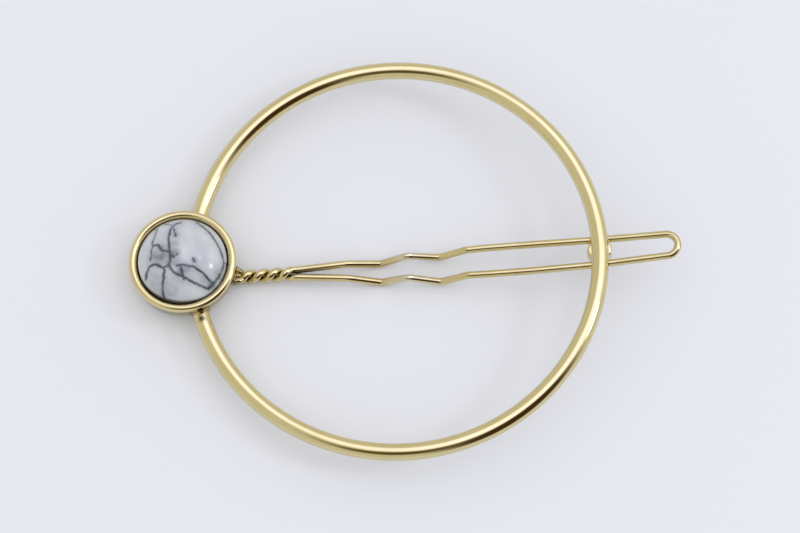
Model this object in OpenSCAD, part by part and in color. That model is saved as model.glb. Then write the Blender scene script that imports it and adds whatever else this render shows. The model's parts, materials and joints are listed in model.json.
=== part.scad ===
// Circle hairpin: a wire ring, a stone set in a round cup, and a sprung wire pin under the ring.
// Lengths are in millimetres. X runs from the cup to the pin's folded tip, Z points up.

/* [Ring] */
// Diameter of the ring over its wire
ring_d = 49.15; // [44:0.05:56]
// Diameter of the ring's wire
ring_wire_d = 2; // [1.6:0.05:2.3]

/* [Stone cup] */
// Height of the cup from its back to the top of its lip
cup_h = 3.2; // [3:0.05:3.8]
// Thickness of the cup's wall
cup_wall = 0.5; // [0.4:0.05:0.65]
// Room between the stone's edge and the cup's wall
stone_room = 0.2; // [0.15:0.05:0.4]
// Thickness of the cup's floor
cup_floor = 0.6; // [0.4:0.05:0.8]
// Diameter of the rounded bead that forms the lip
lip_bead_d = 0.94; // [0.8:0.02:1.06]
// How far the lip stands out past the cup's wall
lip_overhang = 0.42; // [0.3:0.02:0.6]
// Radius of the edge round the cup's back
cup_edge_r = 0.22; // [0.1:0.02:0.3]
// How far the cup's centre lies outside the middle of the ring's wire
cup_out = 1.12; // [0.6:0.02:1.6]
// How far the cup's back lies above the ring's lowest line
cup_back_rise = 0.1; // [0.04:0.02:0.3]

/* [Stone] */
// Diameter of the stone
stone_d = 10.25; // [9.6:0.05:10.6]
// Height of the stone's upright edge
stone_edge_h = 2.2; // [1.6:0.05:2.6]
// Height of the stone's dome above that edge
stone_dome_h = 2.6; // [1.8:0.1:3.4]
// Thickness of the glue under the stone
glue_t = 0.15; // [0.1:0.05:0.3]
// How far the glue is squeezed out past the stone's edge
glue_squeeze = 0.15; // [0:0.05:0.2]

/* [Pin] */
// Diameter of the pin's wire
pin_wire_d = 0.85; // [0.7:0.05:0.95]
// How far the pin is turned off the diameter that runs through the cup, in degrees
pin_yaw = 1.5; // [0:0.1:2.5]
// Room between the ring's wire and the legs at rest
leg_clear = 0.08; // [0.05:0.01:0.2]
// How far the folded tip reaches past the middle of the ring's wire
tip_out = 9.5; // [7:0.05:13]
// Distance between the legs' middles where they are furthest apart
leg_spread = 3.24; // [3.1:0.02:3.8]
// Distance between the legs' middles under the ring
cross_spread = 3.04; // [2.95:0.01:3.3]
// Distance between the legs' middles at the folded tip
tip_spread = 2.6; // [2.2:0.05:3]
// How far the folded tip rises above the legs' height under the ring
tip_rise = 0.7; // [0:0.05:1]
// How far the folded tip lies to one side of the pin's middle line
tip_skew = 0.1; // [0:0.02:0.3]
// Depth of the two crimps
crimp_depth = 2.1; // [1.4:0.1:2.4]
// Radius of the wire's middle line in the crimps' bends
crimp_bend_r = 0.8; // [0.6:0.05:1]

/* [Twist] */
// Length of the twist
twist_len = 6.4; // [5.6:0.1:8]
// Number of turns in the twist, a little short of a whole or a half one, as the ends draw apart
twist_turns = 1.85; // [1.35, 1.85, 2.35]
// Room between the two twisted strands
strand_gap = 0.05; // [0.02:0.01:0.1]
// Distance from the cup's wall to the twist
splay_len = 1.07; // [1:0.01:1.6]
// Distance between the two splayed ends at the cup
splay_spread = 1.9; // [1.8:0.05:2.6]
// Height of the splayed ends' middles above the cup's back
splay_lift = 0.06; // [0:0.02:0.5]
// Room left between the twist's strands and the legs, where the pin bends
flex_gap = 0.2; // [0.16:0.01:0.3]

/* [Keeper] */
// Length of the keeper across the ring's wire
keeper_l = 2.9; // [2.6:0.05:3.3]
// Height of the keeper
keeper_h = 1.9; // [1.6:0.05:2.6]
// How deep the ring's wire sits in the keeper
keeper_saddle = 0.42; // [0.2:0.02:0.6]
// Room between the keeper and each leg
keeper_clear = 0.14; // [0.08:0.01:0.25]
// Radius of the keeper's edges
keeper_edge_r = 0.25; // [0.1:0.05:0.4]

/* [Solder] */
// Width of the solder fillet round each end of the ring
ring_fillet = 0.24; // [0.15:0.01:0.35]
// Width of the solder fillet round each end of the pin's wire
pin_fillet = 0.18; // [0.1:0.01:0.25]
// Thickness of the solder film between two pieces
solder_film = 0.02; // [0.01:0.01:0.04]

/* [Hidden] */

// Colours of the plating, the stone, the glue and the solder
gold = [0.86, 0.72, 0.42];
gold_solder = [0.74, 0.60, 0.34];
stone_white = [0.82, 0.83, 0.86];
glue_clear = [0.80, 0.78, 0.70];

// Smoothness of large and small round shapes
fn_large = 128;
fn_small = 48;
// One overrun for all cuts
cut_over = 1;

// Ring and cup
ring_r = (ring_d - ring_wire_d) / 2;
wire_r = ring_wire_d / 2;
cup_r = stone_d / 2 + stone_room + cup_wall;
cup_x = -(ring_r + cup_out);
cup_back_z = -wire_r + cup_back_rise;
cup_top_z = cup_back_z + cup_h;
cup_floor_z = cup_back_z + cup_floor;
lip_r = cup_r + lip_overhang - lip_bead_d / 2;
lip_z = cup_top_z - lip_bead_d / 2;
// Angle from the cup's direction to each end of the ring, seen from the ring's centre
ring_end_angle = acos((ring_r ^ 2 + cup_x ^ 2 - cup_r ^ 2) / (-2 * ring_r * cup_x));

// Stone
stone_r = stone_d / 2;
stone_z = cup_floor_z + glue_t;
dome_z = stone_z + stone_edge_h;
dome_r = (stone_r ^ 2 + stone_dome_h ^ 2) / (2 * stone_dome_h);

// Pin. It has its own frame: its origin is under the ring where the pin crosses, its X axis runs
// to the tip, and its middle line lies at height pin_z.
strand_r = pin_wire_d / 2;
pin_z = -wire_r - leg_clear - strand_r;
pin_cup = [cup_x - ring_r, 0] * [[cos(pin_yaw), -sin(pin_yaw)], [sin(pin_yaw), cos(pin_yaw)]];
wall_u = pin_cup.x + sqrt(cup_r ^ 2 - pin_cup.y ^ 2);
twist_u = wall_u + splay_len;
hinge_u = twist_u + twist_len;
helix_r = strand_r + strand_gap / 2;

// Stations of one leg: how far along from the twist to the ring, how far out, how deep and how
// softly bent each one lies, as shares of that length, of leg_spread, of crimp_depth and of
// crimp_bend_r
leg_shares = [
    [0.162, 0.545, 0.17, 4], [0.272, 0.71, 0.9, 1], [0.363, 0.84, 0.17, 1.5],
    [0.468, 0.939, 1, 1], [0.559, 0.965, 0.17, 1.5], [0.63, 1, 0.14, 4], [0.773, 1, 0.11, 4]
];
// How softly the legs bend under the ring, as a share of crimp_bend_r
cross_bend_share = 4;
leg_side = concat(
    [[hinge_u, helix_r, 0]],
    [for (s = leg_shares) [hinge_u * (1 - s[0]), leg_spread / 2 * s[1], -crimp_depth * s[2]]],
    [[0, cross_spread / 2, 0], [tip_out - strand_r, tip_spread / 2, tip_rise]]
);
leg_count = len(leg_side);
// Number of the station at the bottom of the deeper crimp
deep_station = 4;
leg_points = [for (i = [0:2 * leg_count - 1])
    skewed(i < leg_count ? leg_side[i] : flip_y(leg_side[2 * leg_count - 1 - i]))];

// Twist: share of its length over which its turning starts at the legs
ease_share = 0.165;
rings_per_turn = 20;
arm_rings = 8;
strand_sides = 12;
// Largest step of a bend's angle, and sides of the legs' wire
bend_step = 10;
leg_sides = 16;
// Lengths of a splayed end's handles, as shares of the distance that it spans
arm_handle_shares = [0.35, 0.35];
// Straight end of the wire in its solder, as a share of the wire's diameter, and how far its
// slanting end stands off the wall, as a share of the wire's radius
arm_tail_share = 0.3;
arm_stand_share = 0.5;
arm_tail = arm_tail_share * pin_wire_d;

// Keeper
keeper_w = cross_spread - pin_wire_d - 2 * keeper_clear;
keeper_top_z = -wire_r + keeper_saddle;

// Middle of the whole outline along X, and its lowest point
lip_out_r = lip_r + lip_bead_d / 2;
tip_x = ring_r + tip_out * cos(pin_yaw);
mid_x = (cup_x - lip_out_r + tip_x) / 2;
low_z = pin_z + leg_low();

function flip_y(p) = [p.x, -p.y, p.z];
function skewed(p) = [p.x, p.y + tip_skew * max(0, p.x) / tip_out, p.z];
function unit(v) = v / norm(v);
function bend_angle(a, b, c) = acos(min(1, unit(b - a) * unit(c - b)));

// Radius of the bend at station i of either leg
function bend_r(i) =
    let (station = min(i, 2 * leg_count - 1 - i))
    crimp_bend_r * (station < leg_count - 2 ? leg_shares[station - 1][3] : cross_bend_share);
// Length of straight wire that each bend takes up: half the tip's width in the fold, and
// otherwise what the bend's radius needs
function bend_run(i) =
    i == leg_count - 1 || i == leg_count
        ? tip_spread / 2
        : bend_r(i) * tan(bend_angle(leg_points[i - 1], leg_points[i], leg_points[i + 1]) / 2);
// Middle line of the bend at station i, in even steps of its angle
function bend_path(i) =
    let (
        d1 = unit(leg_points[i] - leg_points[i - 1]),
        d2 = unit(leg_points[i + 1] - leg_points[i]),
        turn = acos(d1 * d2),
        r = bend_run(i) / tan(turn / 2),
        out = cross(d1, unit(cross(d1, d2))),
        centre = leg_points[i] - d1 * bend_run(i) - out * r,
        n = ceil(turn / bend_step)
    )
    [for (j = [0:n]) centre + r * (cos(turn * j / n) * out + sin(turn * j / n) * d1)];
// Middle line of the whole folded wire, without doubling the point where the fold's halves meet
function leg_path() =
    let (last = len(leg_points) - 1)
    concat(
        [leg_points[0]],
        [for (i = [1:last - 1])
            let (p = bend_path(i), first = i == leg_count ? 1 : 0)
            each [for (j = [first:len(p) - 1]) p[j]]],
        [leg_points[last]]
    );

// How far a crimp's bend lifts the wire off the corner that it rounds
function corner_lift(i) =
    let (
        d1 = unit(leg_points[i] - leg_points[i - 1]),
        d2 = unit(leg_points[i + 1] - leg_points[i])
    )
    crimp_bend_r * (unit(d2 - d1).z / cos(acos(d1 * d2) / 2) - 1);
function leg_low() = corner_lift(deep_station) - crimp_depth - strand_r;

// Share of the twist's turning that is done at share s of its length
function eased(s) =
    (s < ease_share ? s ^ 2 / (2 * ease_share) : s - ease_share / 2) / (1 - ease_share / 2);
// Middle line of a strand of the twist: k is 0 or 1, s runs from the legs to the splayed ends
function helix_point(k, s) =
    let (a = 360 * twist_turns * eased(s) + 180 * k)
    [hinge_u - flex_gap - (twist_len - flex_gap) * s, helix_r * cos(a), helix_r * sin(a)];
// Where a splayed end stops at the cup's wall: side is 1 or -1
function arm_seat(side) =
    let (v = side * splay_spread / 2, reach = cup_r + solder_film + arm_stand_share * strand_r)
    [pin_cup.x + sqrt(reach ^ 2 - (v - pin_cup.y) ^ 2), v, cup_back_z + splay_lift - pin_z];
// Strand that splays to that side, and the direction of its end: halfway between square to the
// wall and straight at the twist
function arm_strand(side) = helix_point(0, 1).y * side > 0 ? 0 : 1;
function arm_out(side) =
    unit(unit(arm_seat(side) - [pin_cup.x, pin_cup.y, arm_seat(side).z])
        + unit(helix_point(arm_strand(side), 1) - arm_seat(side)));
function cubic(a, b, c, d, t) =
    (1 - t) ^ 3 * a + 3 * (1 - t) ^ 2 * t * b + 3 * (1 - t) * t ^ 2 * c + t ^ 3 * d;
function arm_points(k) =
    let (
        a = helix_point(k, 1),
        side = a.y > 0 ? 1 : -1,
        d = arm_seat(side) + arm_out(side) * arm_tail,
        b = a + unit(a - helix_point(k, 1 - ease_share / rings_per_turn))
            * norm(d - a) * arm_handle_shares[0],
        c = d + arm_out(side) * norm(d - a) * arm_handle_shares[1]
    )
    concat([for (i = [1:arm_rings]) cubic(a, b, c, d, i / arm_rings)], [arm_seat(side)]);
function strand_points(k) =
    let (n = round(twist_turns * rings_per_turn))
    concat([for (i = [0:n]) helix_point(k, i / n)], arm_points(k));

// One tube along a list of points
module tube(points, r, sides) {
    n = len(points);
    along = [for (i = [0:n - 1]) unit(points[min(i + 1, n - 1)] - points[max(i - 1, 0)])];
    rim = [for (i = [0:n - 1])
        let (a = unit(cross([0, 0, 1], along[i])), b = cross(along[i], a))
        for (j = [0:sides - 1])
            points[i] + r * (cos(360 * j / sides) * a + sin(360 * j / sides) * b)];
    skin = [for (i = [0:n - 2]) for (j = [0:sides - 1])
        let (p = i * sides + j, q = i * sides + (j + 1) % sides)
        each [[p, p + sides, q], [q, p + sides, q + sides]]];
    caps = [[for (j = [0:sides - 1]) j], [for (j = [sides - 1:-1:0]) (n - 1) * sides + j]];
    polyhedron(points = rim, faces = concat(skin, caps));
}

// Places its children with their Z axis along the given direction
module aim(at, along) {
    translate(at)
        rotate([0, acos(unit(along).z), atan2(along.y, along.x)])
            children();
}

// Moves its children from the ring's frame to the part's frame
module placed() {
    translate([-mid_x, 0, -low_z]) children();
}
// Moves its children from the pin's frame to the ring's frame
module on_pin() {
    translate([ring_r, 0, pin_z]) rotate([0, 0, pin_yaw]) children();
}

// Whole circle of wire, before the cup's place is cut out of it
module wire_circle(r) {
    rotate_extrude($fn = fn_large) translate([ring_r, 0]) circle(r = r, $fn = fn_small);
}
// Room that the cup's wall takes up
module cup_room(gap) {
    translate([cup_x, 0, cup_back_z - cup_h])
        cylinder(r = cup_r + gap, h = 3 * cup_h, $fn = fn_large);
}

// Rounded bead of the cup's lip
module lip_bead(r) {
    translate([0, 0, lip_z])
        rotate_extrude($fn = fn_large) translate([lip_r, 0]) circle(r = r, $fn = fn_small);
}

module ring() {
    color(gold) placed() difference() {
        wire_circle(wire_r);
        cup_room(solder_film);
    }
}

module stone_cup() {
    color(gold) placed() translate([cup_x, 0, 0]) {
        difference() {
            union() {
                translate([0, 0, cup_back_z + cup_edge_r])
                    cylinder(r = cup_r, h = lip_z - cup_back_z - cup_edge_r, $fn = fn_large);
                translate([0, 0, cup_back_z])
                    cylinder(r = cup_r - cup_edge_r, h = cup_h / 2, $fn = fn_large);
                translate([0, 0, cup_back_z + cup_edge_r])
                    rotate_extrude($fn = fn_large)
                        translate([cup_r - cup_edge_r, 0]) circle(r = cup_edge_r, $fn = fn_small);
            }
            translate([0, 0, cup_floor_z])
                cylinder(r = cup_r - cup_wall, h = cup_h, $fn = fn_large);
        }
        lip_bead(lip_bead_d / 2);
    }
}

module adhesive_bed() {
    color(glue_clear) placed() translate([cup_x, 0, cup_floor_z])
        cylinder(r = stone_r + glue_squeeze, h = glue_t, $fn = fn_large);
}

module cabochon() {
    color(stone_white) placed() translate([cup_x, 0, 0]) intersection() {
        translate([0, 0, stone_z])
            cylinder(r = stone_r, h = stone_edge_h + stone_dome_h + cut_over, $fn = fn_large);
        translate([0, 0, dome_z + stone_dome_h - dome_r]) sphere(r = dome_r, $fn = fn_large);
    }
}

module ring_solder() {
    color(gold_solder) placed() difference() {
        for (side = [-1, 1]) {
            a = 180 - side * ring_end_angle;
            aim([ring_r * cos(a), ring_r * sin(a), 0], [side * sin(a), -side * cos(a), 0])
                cylinder(r1 = wire_r + ring_fillet, r2 = wire_r + ring_fillet / 4,
                    h = 2 * ring_fillet, $fn = fn_small);
        }
        wire_circle(wire_r + solder_film / 2);
        cup_room(solder_film / 2);
        translate([cup_x, 0, 0]) lip_bead(lip_bead_d / 2 + solder_film);
    }
}

module pin_root() {
    color(gold) placed() on_pin()
        for (k = [0, 1]) tube(strand_points(k), strand_r, strand_sides);
}

module pin_solder() {
    color(gold_solder) placed() difference() {
        on_pin() for (side = [-1, 1])
            aim(arm_seat(side) - arm_out(side) * strand_r, arm_out(side))
                cylinder(r1 = strand_r + pin_fillet, r2 = strand_r + pin_fillet / 4,
                    h = strand_r + arm_tail, $fn = fn_small);
        on_pin() for (side = [-1, 1])
            aim(arm_seat(side) - arm_out(side) * solder_film / 2, arm_out(side))
                cylinder(r = strand_r + solder_film / 2, h = cut_over + arm_tail,
                    $fn = fn_small);
        cup_room(solder_film / 2);
    }
}

module pin_legs() {
    color(gold) placed() on_pin() tube(leg_path(), strand_r, leg_sides);
}

// Half of the keeper's section, with its four edges rounded
module keeper_section() {
    e = keeper_edge_r;
    translate([0, e]) square([keeper_w / 2, keeper_h - 2 * e]);
    square([keeper_w / 2 - e, keeper_h]);
    for (y = [e, keeper_h - e])
        translate([keeper_w / 2 - e, y]) circle(r = e, $fn = fn_small);
}

module keeper() {
    reach = (keeper_l - keeper_w) / 2;
    color(gold) placed() difference() {
        translate([ring_r, 0, keeper_top_z - keeper_h]) rotate([0, 0, pin_yaw]) {
            for (x = [-reach, reach])
                translate([x, 0, 0]) rotate_extrude($fn = fn_large)
                    intersection() {
                        keeper_section();
                        square([keeper_w, keeper_h]);
                    }
            for (side = [0, 1])
                translate([side == 0 ? -reach : reach, 0, 0])
                    rotate([90, 0, side == 0 ? 90 : -90])
                        linear_extrude(2 * reach) keeper_section();
        }
        wire_circle(wire_r + solder_film);
    }
}

ring();
stone_cup();
adhesive_bed();
cabochon();
ring_solder();
pin_root();
pin_solder();
pin_legs();
keeper();
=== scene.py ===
import json
import math

import bmesh
import bpy
from mathutils import Matrix, Vector, noise
from mathutils.kdtree import KDTree


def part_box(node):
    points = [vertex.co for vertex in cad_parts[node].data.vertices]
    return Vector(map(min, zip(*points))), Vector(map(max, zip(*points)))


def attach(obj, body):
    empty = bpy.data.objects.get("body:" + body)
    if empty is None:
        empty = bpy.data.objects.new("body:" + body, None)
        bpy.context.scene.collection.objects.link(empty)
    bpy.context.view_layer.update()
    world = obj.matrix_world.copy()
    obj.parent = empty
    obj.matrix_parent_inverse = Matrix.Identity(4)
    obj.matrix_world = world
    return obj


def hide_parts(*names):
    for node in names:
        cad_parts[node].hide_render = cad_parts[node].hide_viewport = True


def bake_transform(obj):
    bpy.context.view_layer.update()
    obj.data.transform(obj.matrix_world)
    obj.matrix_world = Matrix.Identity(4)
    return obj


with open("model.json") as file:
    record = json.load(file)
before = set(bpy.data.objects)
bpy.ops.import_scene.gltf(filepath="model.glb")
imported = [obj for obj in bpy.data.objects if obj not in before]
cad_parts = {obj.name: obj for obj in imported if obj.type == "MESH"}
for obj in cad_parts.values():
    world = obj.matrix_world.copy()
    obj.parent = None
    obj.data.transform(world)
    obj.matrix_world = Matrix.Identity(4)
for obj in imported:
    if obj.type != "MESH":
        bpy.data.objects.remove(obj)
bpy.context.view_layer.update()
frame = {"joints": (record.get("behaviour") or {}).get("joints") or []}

# Circle hairpin: gold-plated wire ring, veined white stone in a round cup, sprung wire pin.
# Everything is in metres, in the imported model's own frame. Sizes come from the frame where
# the frame has them, and are named here where it hasn't.
MM = 0.001

# Ring, cup, stone and glue, read from the frame
ring_low, ring_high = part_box("ring")
WIRE_R = (ring_high.z - ring_low.z) / 2
RING_R = (ring_high.y - ring_low.y) / 2 - WIRE_R
RING_AT = Vector((ring_high.x - RING_R - WIRE_R, 0, (ring_low.z + ring_high.z) / 2))
cup_low, cup_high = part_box("stone_cup")
CUP_AT = Vector(((cup_low.x + cup_high.x) / 2, 0, cup_low.z))
CUP_H = cup_high.z - cup_low.z
LIP_OUT_R = (cup_high.y - cup_low.y) / 2
stone_low, stone_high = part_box("cabochon")
STONE_R = (stone_high.y - stone_low.y) / 2
STONE_AT = Vector((CUP_AT.x, 0, stone_low.z))
STONE_H = stone_high.z - stone_low.z
glue_low, glue_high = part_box("adhesive_bed")

# Cup
LIP_BEAD_R = 0.47 * MM
CUP_WALL = 0.5 * MM
CUP_FLOOR = 0.6 * MM
CUP_EDGE_R = 0.22 * MM
STONE_ROOM = 0.2 * MM
CUP_R = STONE_R + STONE_ROOM + CUP_WALL
# How deep the ring's ends run into the cup's wall
RING_SINK = 0.3 * MM

# Stone
STONE_DOME_H = 2.6 * MM
STONE_EDGE_H = STONE_H - STONE_DOME_H
DOME_R = (STONE_R ** 2 + STONE_DOME_H ** 2) / (2 * STONE_DOME_H)
STONE_CHAMFER = 0.15 * MM

# Glue: where its squeezed rim starts, in degrees from the outward direction, and how far its
# flat top reaches
GLUE_RIM_START = -20
GLUE_TOP_R = 0.9 * STONE_R

# Pin
PIN_R = 0.425 * MM
PIN_YAW = math.radians(1.5)
# Where the pin bends, where it crosses under the ring, and how far along the pin's own X axis
# the one lies from the other
HINGE = Vector(frame["joints"][0]["pos_m"])
CROSSING = Vector((RING_AT.x + RING_R, 0, HINGE.z))
HINGE_U = -(CROSSING.xy - HINGE.xy).length
# The folded tip, the distances between the legs' middles, and the crimps
TIP_OUT = 9.5 * MM
LEG_SPREAD = 3.24 * MM
CROSS_SPREAD = 3.04 * MM
TIP_SPREAD = 2.6 * MM
TIP_RISE = 0.7 * MM
TIP_SKEW = 0.1 * MM
CRIMP_DEPTH = 2.1 * MM
CRIMP_BEND_R = 0.8 * MM
# Stations of a leg: how far along from the twist to the ring, how far out, how deep, and how
# softly bent
LEG_SHARES = [
    (0.162, 0.545, 0.17, 4), (0.272, 0.71, 0.9, 1), (0.363, 0.84, 0.17, 1.5),
    (0.468, 0.939, 1, 1), (0.559, 0.965, 0.17, 1.5), (0.63, 1, 0.14, 4), (0.773, 1, 0.11, 4),
]
CROSS_BEND_SHARE = 4

# Twist and splayed ends
TWIST_LEN = 6.4 * MM
TWIST_TURNS = 1.85
TWIST_EASE_SHARE = 0.165
TWIST_LEAD = 0.2 * MM
STRAND_GAP = 0.05 * MM
HELIX_R = PIN_R + STRAND_GAP / 2
SPLAY_SPREAD = 1.25 * MM
SPLAY_LIFT = 0.06 * MM
SOLDER_FILM = 0.02 * MM
ARM_STAND = PIN_R / 2 + SOLDER_FILM
ARM_TAIL = 0.6 * PIN_R
# Lengths of a splayed end's handles, as a share of its span, and the share of the twist that
# gives its direction
ARM_HANDLE_SHARE = 0.35
TWIST_AIM_SHARE = 0.01

# Solder: width of the fillet round each wire, and how far the solder that joins the pin's two
# ends stands out from the wall
RING_FILLET = 0.24 * MM
PIN_FILLET = 0.13 * MM
WEB_OUT = 0.7 * MM
WEB_HIGH = 0.8 * PIN_R
WEB_DROP = 0.15 * PIN_R
RING_COLLAR_LEN = 2 * RING_FILLET
RING_COLLAR_SINK = RING_FILLET / 2
PIN_COLLAR_SINK = PIN_R / 2
# Radius inside a collar, as a share of its wire's
COLLAR_CORE_SHARE = 0.8
# Height of a collar's lumps and their length, as shares of the fillet's width
LUMP_HIGH_SHARE = 0.12
LUMP_LONG_SHARE = 3
# Seeds of the lumps
RING_SEED, PIN_SEED, WEB_SEED = 3, 7, 11

# Keeper
keeper_low, keeper_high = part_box("keeper")
KEEPER_W = 1.91 * MM
KEEPER_L = 2.9 * MM
KEEPER_EDGE_R = 0.25 * MM

# Smoothness of the swept and turned shapes
RING_STEPS = 480
TURN_STEPS = 192
BEAD_STEPS = 28
CUP_EDGE_STEPS = 8
CUP_CORNER_STEPS = 6
STONE_GRID = 190
GLUE_TURN_STEPS = 96
GLUE_RIM_STEPS = 6
WIRE_SIDES = 36
WIRE_BEVEL = 6
BEND_STEP = math.radians(3)
TWIST_STEPS = 96
ARM_STEPS = 24
COLLAR_TURN_STEPS = 64
# Heights of a collar's rings, as shares of its length
COLLAR_SHARES = (0, 0.08, 0.18, 0.3, 0.45, 0.6, 0.75, 0.9, 1)
WEB_RINGS, WEB_SEGMENTS = 24, 40
KEEPER_STEPS = 64
KEEPER_EDGE_STEPS = 6
# Vertices closer than this are merged
MERGE_WITHIN = 0.0005 * MM
# An edge that rises less than this is level
LEVEL_WITHIN = 0.01 * MM

# Camera, fitted to the photograph: where it stands as seen from the ring's centre, and how far
# to the right of that centre and above it the camera looks
CAMERA_AZIMUTH = math.radians(2.405)
CAMERA_ELEVATION = math.radians(69.685)
CAMERA_ROLL = math.radians(4.91)
CAMERA_DISTANCE = 350 * MM
CAMERA_LENS_MM = 135.91
CAMERA_AIM_RIGHT = 0.397 * MM
CAMERA_AIM_UP = -1.099 * MM
CAMERA_CLIP_START = 10 * MM

# Floor: its size, and how far a crimp's bend lifts the wire off the corner that it rounds
FLOOR_SIZE = 3.0
CRIMP_LIFT = 0.1 * MM
# Its grain, whose darker parts have that share of its tone
FLOOR_GRAIN_SCALE = 12
FLOOR_SHADE_SHARE = 0.985

# Tones of the floor and the room: as the camera sees them, as polished metal mirrors them, and
# as matt surfaces are lit by the room's walls and its ceiling
FLOOR_TONE = (0.86, 0.878, 0.955)
MIRRORED_FLOOR_TONE = (0.75, 0.80, 0.98)
BACKDROP_TONE = (0.81, 0.83, 0.88)
MIRRORED_ROOM_TONE = (0.64, 0.65, 0.65)
WALL_TONE = (0.74, 0.80, 0.95)
CEILING_TONE = (0.965, 0.93, 0.85)
# Softly edged fields of the mirrored room, in degrees: azimuth and zenith, the angles from there
# at which each field is whole and gone, and its tone
ROOM_FIELDS = [
    (14, 55, 6, 26, (1.05, 1.05, 1.1)),
    (32, 24, 18, 42, (1.4, 1.42, 2.0)),
    (-95, 36, 8, 31, (0.1, 0.08, 0.03)),
    (-38, 40, 9, 28, (0.08, 0.055, 0.025)),
    (-46, 62, 16, 40, (0.05, 0.027, 0.01)),
]
# Softboxes: name, azimuth and zenith in degrees, distance and width in metres, and radiance
LAMPS = [
    ("window pane", -1.3, 59, 0.6, 0.1, 9),
    ("far pane", 20, 34, 0.6, 0.08, 4),
]


# Directions and curves
def direction(azimuth, zenith):
    """Unit vector at an azimuth from +X and an angle from straight up, in degrees."""
    a, z = math.radians(azimuth), math.radians(zenith)
    return Vector((math.cos(a) * math.sin(z), math.sin(a) * math.sin(z), math.cos(z)))


def arc(centre, radius, start, end, steps):
    """Points (r, z) along an arc, in degrees from the outward direction."""
    angles = [math.radians(start + (end - start) * i / steps) for i in range(steps + 1)]
    return [(centre[0] + radius * math.cos(a), centre[1] + radius * math.sin(a)) for a in angles]


def bezier(a, b, c, d, t):
    """Point at share t of the curve from a to d whose handles are b and c."""
    return (1 - t) ** 3 * a + 3 * (1 - t) ** 2 * t * b + 3 * (1 - t) * t ** 2 * c + t ** 3 * d


def smooth_through(points, samples):
    """Points along a soft curve that passes through the given ones."""
    held = [points[0], *points, points[-1]]
    out = []
    for a, b, c, d in zip(held, held[1:], held[2:], held[3:]):
        for i in range(samples):
            t = i / samples
            out.append(0.5 * (2 * b + (c - a) * t + (2 * a - 5 * b + 4 * c - d) * t ** 2
                              + (3 * b - 3 * c + d - a) * t ** 3))
    return out + [points[-1]]


# Meshes
def close_seams(bm):
    """Merges doubled vertices and points every face outwards."""
    bmesh.ops.remove_doubles(bm, verts=bm.verts, dist=MERGE_WITHIN)
    bmesh.ops.recalc_face_normals(bm, faces=bm.faces)


def turned(profile, steps=TURN_STEPS):
    """A closed bmesh from an outline of (r, z) points spun round Z."""
    bm = bmesh.new()
    verts = [bm.verts.new((r, 0, z)) for r, z in profile]
    edges = [bm.edges.new(pair) for pair in zip(verts, verts[1:])]
    if profile[0][0] > 0:
        edges.append(bm.edges.new((verts[-1], verts[0])))
    bmesh.ops.spin(bm, geom=verts + edges, cent=(0, 0, 0), axis=(0, 0, 1),
                   angle=2 * math.pi, steps=steps, use_merge=True)
    close_seams(bm)
    return bm


def roughen(bm, amount, scale, seed):
    """Moves vertices along their normals by smooth noise."""
    bm.normal_update()
    shift = Vector((seed, 2.3 * seed, 0.7 * seed))
    moves = [v.normal * amount * noise.noise(v.co * scale + shift) for v in bm.verts]
    for v, move in zip(bm.verts, moves):
        v.co += move


def merge(bm, other):
    """Adds the other bmesh's geometry to bm."""
    mesh = bpy.data.meshes.new("part")
    other.to_mesh(mesh)
    other.free()
    bm.from_mesh(mesh)
    bpy.data.meshes.remove(mesh)


def add_object(name, mesh, material):
    """Links a mesh to the scene as a smooth object of one material."""
    for polygon in mesh.polygons:
        polygon.use_smooth = True
    mesh.materials.clear()
    mesh.materials.append(material)
    obj = bpy.data.objects.new(name, mesh)
    bpy.context.scene.collection.objects.link(obj)
    return obj


def finish_piece(bm, name, material, slot, body, *nodes):
    """Makes the bmesh an object that rides on a body and stands for the CAD nodes."""
    mesh = bpy.data.meshes.new(name)
    bm.to_mesh(mesh)
    bm.free()
    obj = add_object(name, mesh, material)
    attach(obj, body)
    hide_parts(*nodes)
    return obj


def paint(piece, name, values):
    """Gives each vertex of a piece a number that its material reads under that name."""
    attribute = piece.data.attributes.new(name, "FLOAT", "POINT")
    attribute.data.foreach_set("value", values)


# Marks on the plating: painted shade and reflection at joints, ends and hollows, and wear with a
# painted sheen. A place is given in millimetres from the ring's centre, with its width in
# millimetres and its strength, and its edge is frayed by noise.
MARK_FRAY_SHARE = 0.5
MARK_FRAY_SCALE = 2200
MARK_EDGE_POWER = 4


def mark(piece, name, places, hollow_shade=lambda at: 0):
    """Paints how strongly a piece's plating is marked at the places and in its hollows: painted
    shade, and wear with a painted sheen.
    """
    marked = []
    for v in piece.data.vertices:
        clear = 1 - hollow_shade(v.co)
        for at, wide, strong in places:
            away = (v.co - RING_AT - Vector(at) * MM).length / (wide * MM)
            frayed = 1 + MARK_FRAY_SHARE * noise.noise(v.co * MARK_FRAY_SCALE)
            clear *= 1 - strong * math.exp(-(away * frayed) ** MARK_EDGE_POWER)
        marked.append(1 - clear)
    paint(piece, name, marked)


# Shader nodes, each set beside the ones before it
NODE_STEP = 220
# The colour mix node's sockets for its two tones and its result
MIX_FIRST, MIX_SECOND, MIX_RESULT = 6, 7, 2


def feed(socket, value):
    """Links an input to the socket that feeds it, or sets it to a tone or a number."""
    if isinstance(value, bpy.types.NodeSocket):
        socket.id_data.links.new(value, socket)
    elif isinstance(value, tuple):
        socket.default_value = (*value, 1)
    else:
        socket.default_value = value


def node(tree, kind, inputs=None, **settings):
    """A new shader node with its settings and what feeds its inputs."""
    made = tree.nodes.new(kind)
    made.location = (NODE_STEP * len(tree.nodes), 0)
    for key, value in settings.items():
        setattr(made, key, value)
    for key, value in (inputs or {}).items():
        feed(made.inputs[key], value)
    return made


def computed(tree, operation, *values, **settings):
    """Result of an operation on numbers and sockets."""
    inputs = dict(enumerate(values))
    return node(tree, "ShaderNodeMath", inputs, operation=operation, **settings).outputs[0]


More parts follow.
